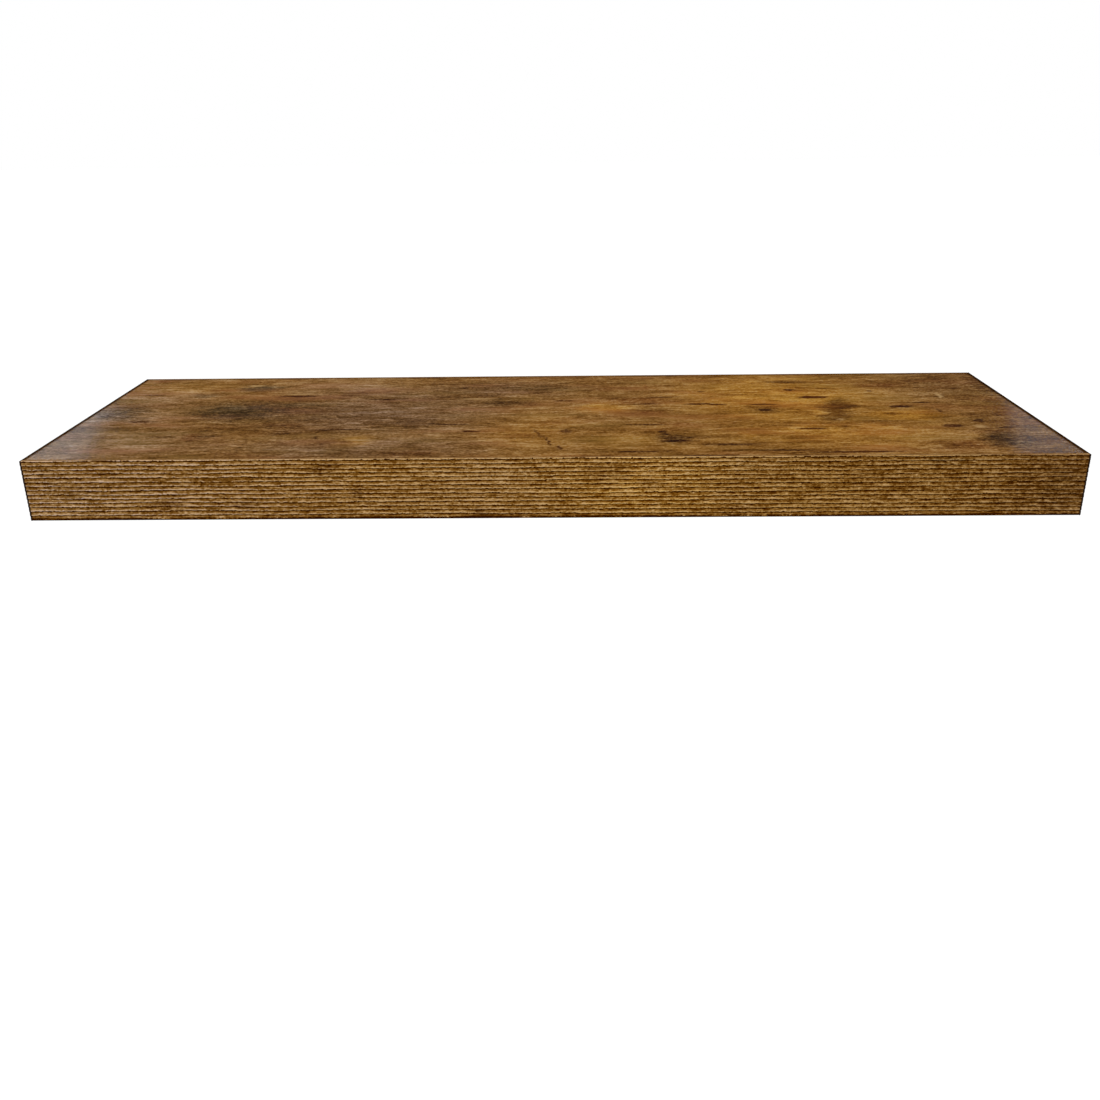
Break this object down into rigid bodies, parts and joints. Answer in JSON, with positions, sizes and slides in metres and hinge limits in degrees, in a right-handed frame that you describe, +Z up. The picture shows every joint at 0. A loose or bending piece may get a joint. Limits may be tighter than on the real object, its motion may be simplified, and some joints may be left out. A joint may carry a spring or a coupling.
{
  "type": "floating wall shelf",
  "caption": "Straight floating shelf with a plain printed-wood top and horizontally grooved edges, which slides onto a hidden steel rod bracket on the wall.",
  "frame": {"origin": "middle of the wall plate's back face, on the wall, at half the board's thickness", "axes": "+X along the shelf, +Y into the wall, so that the grooved front edge faces -Y, +Z up"},
  "size_m": [0.6, 0.237, 0.036],
  "materials": {
    "rustic_wood_decor": "satin printed wood decor on hardboard",
    "grooved_wood_decor": "matt printed wood decor, reeded",
    "chipboard": "raw",
    "kraft_paper": "raw",
    "black_steel": "satin black",
    "zinc_steel": "zinc plated",
    "brass": "turned",
    "grey_nylon": "moulded"
  },
  "bodies": {
    "bracket": {"wall_plate": "black_steel", "support_rod_left": "black_steel", "support_rod_right": "black_steel", "wall_screw_outer_left": "zinc_steel", "wall_screw_inner_left": "zinc_steel", "wall_screw_inner_right": "zinc_steel", "wall_screw_outer_right": "zinc_steel", "wall_plug_outer_left": "grey_nylon", "wall_plug_inner_left": "grey_nylon", "wall_plug_inner_right": "grey_nylon", "wall_plug_outer_right": "grey_nylon"},
    "shelf": {"top_skin": "rustic_wood_decor", "bottom_skin": "rustic_wood_decor", "front_edge_band": "grooved_wood_decor", "left_edge_band": "grooved_wood_decor", "right_edge_band": "grooved_wood_decor", "front_rail": "chipboard", "rear_rail": "chipboard", "left_end_rail": "chipboard", "right_end_rail": "chipboard", "rod_block_left": "chipboard", "rod_block_right": "chipboard", "honeycomb_left": "kraft_paper", "honeycomb_centre": "kraft_paper", "honeycomb_right": "kraft_paper", "insert_nut_left": "brass", "insert_nut_right": "brass"},
    "set_screw_left": {"set_screw_left": "black_steel"},
    "set_screw_right": {"set_screw_right": "black_steel"}
  },
  "joints": [
    {"name": "shelf_slide", "type": "slide", "parent": "bracket", "child": "shelf", "axis": [0, -1, 0], "range_m": [0, 0.145]},
    {"name": "set_screw_left_travel", "type": "slide", "parent": "shelf", "child": "set_screw_left", "axis": [0, 0, -1], "range_m": [0, 0.003]},
    {"name": "set_screw_right_travel", "type": "slide", "parent": "shelf", "child": "set_screw_right", "axis": [0, 0, -1], "range_m": [0, 0.003]}
  ]
}
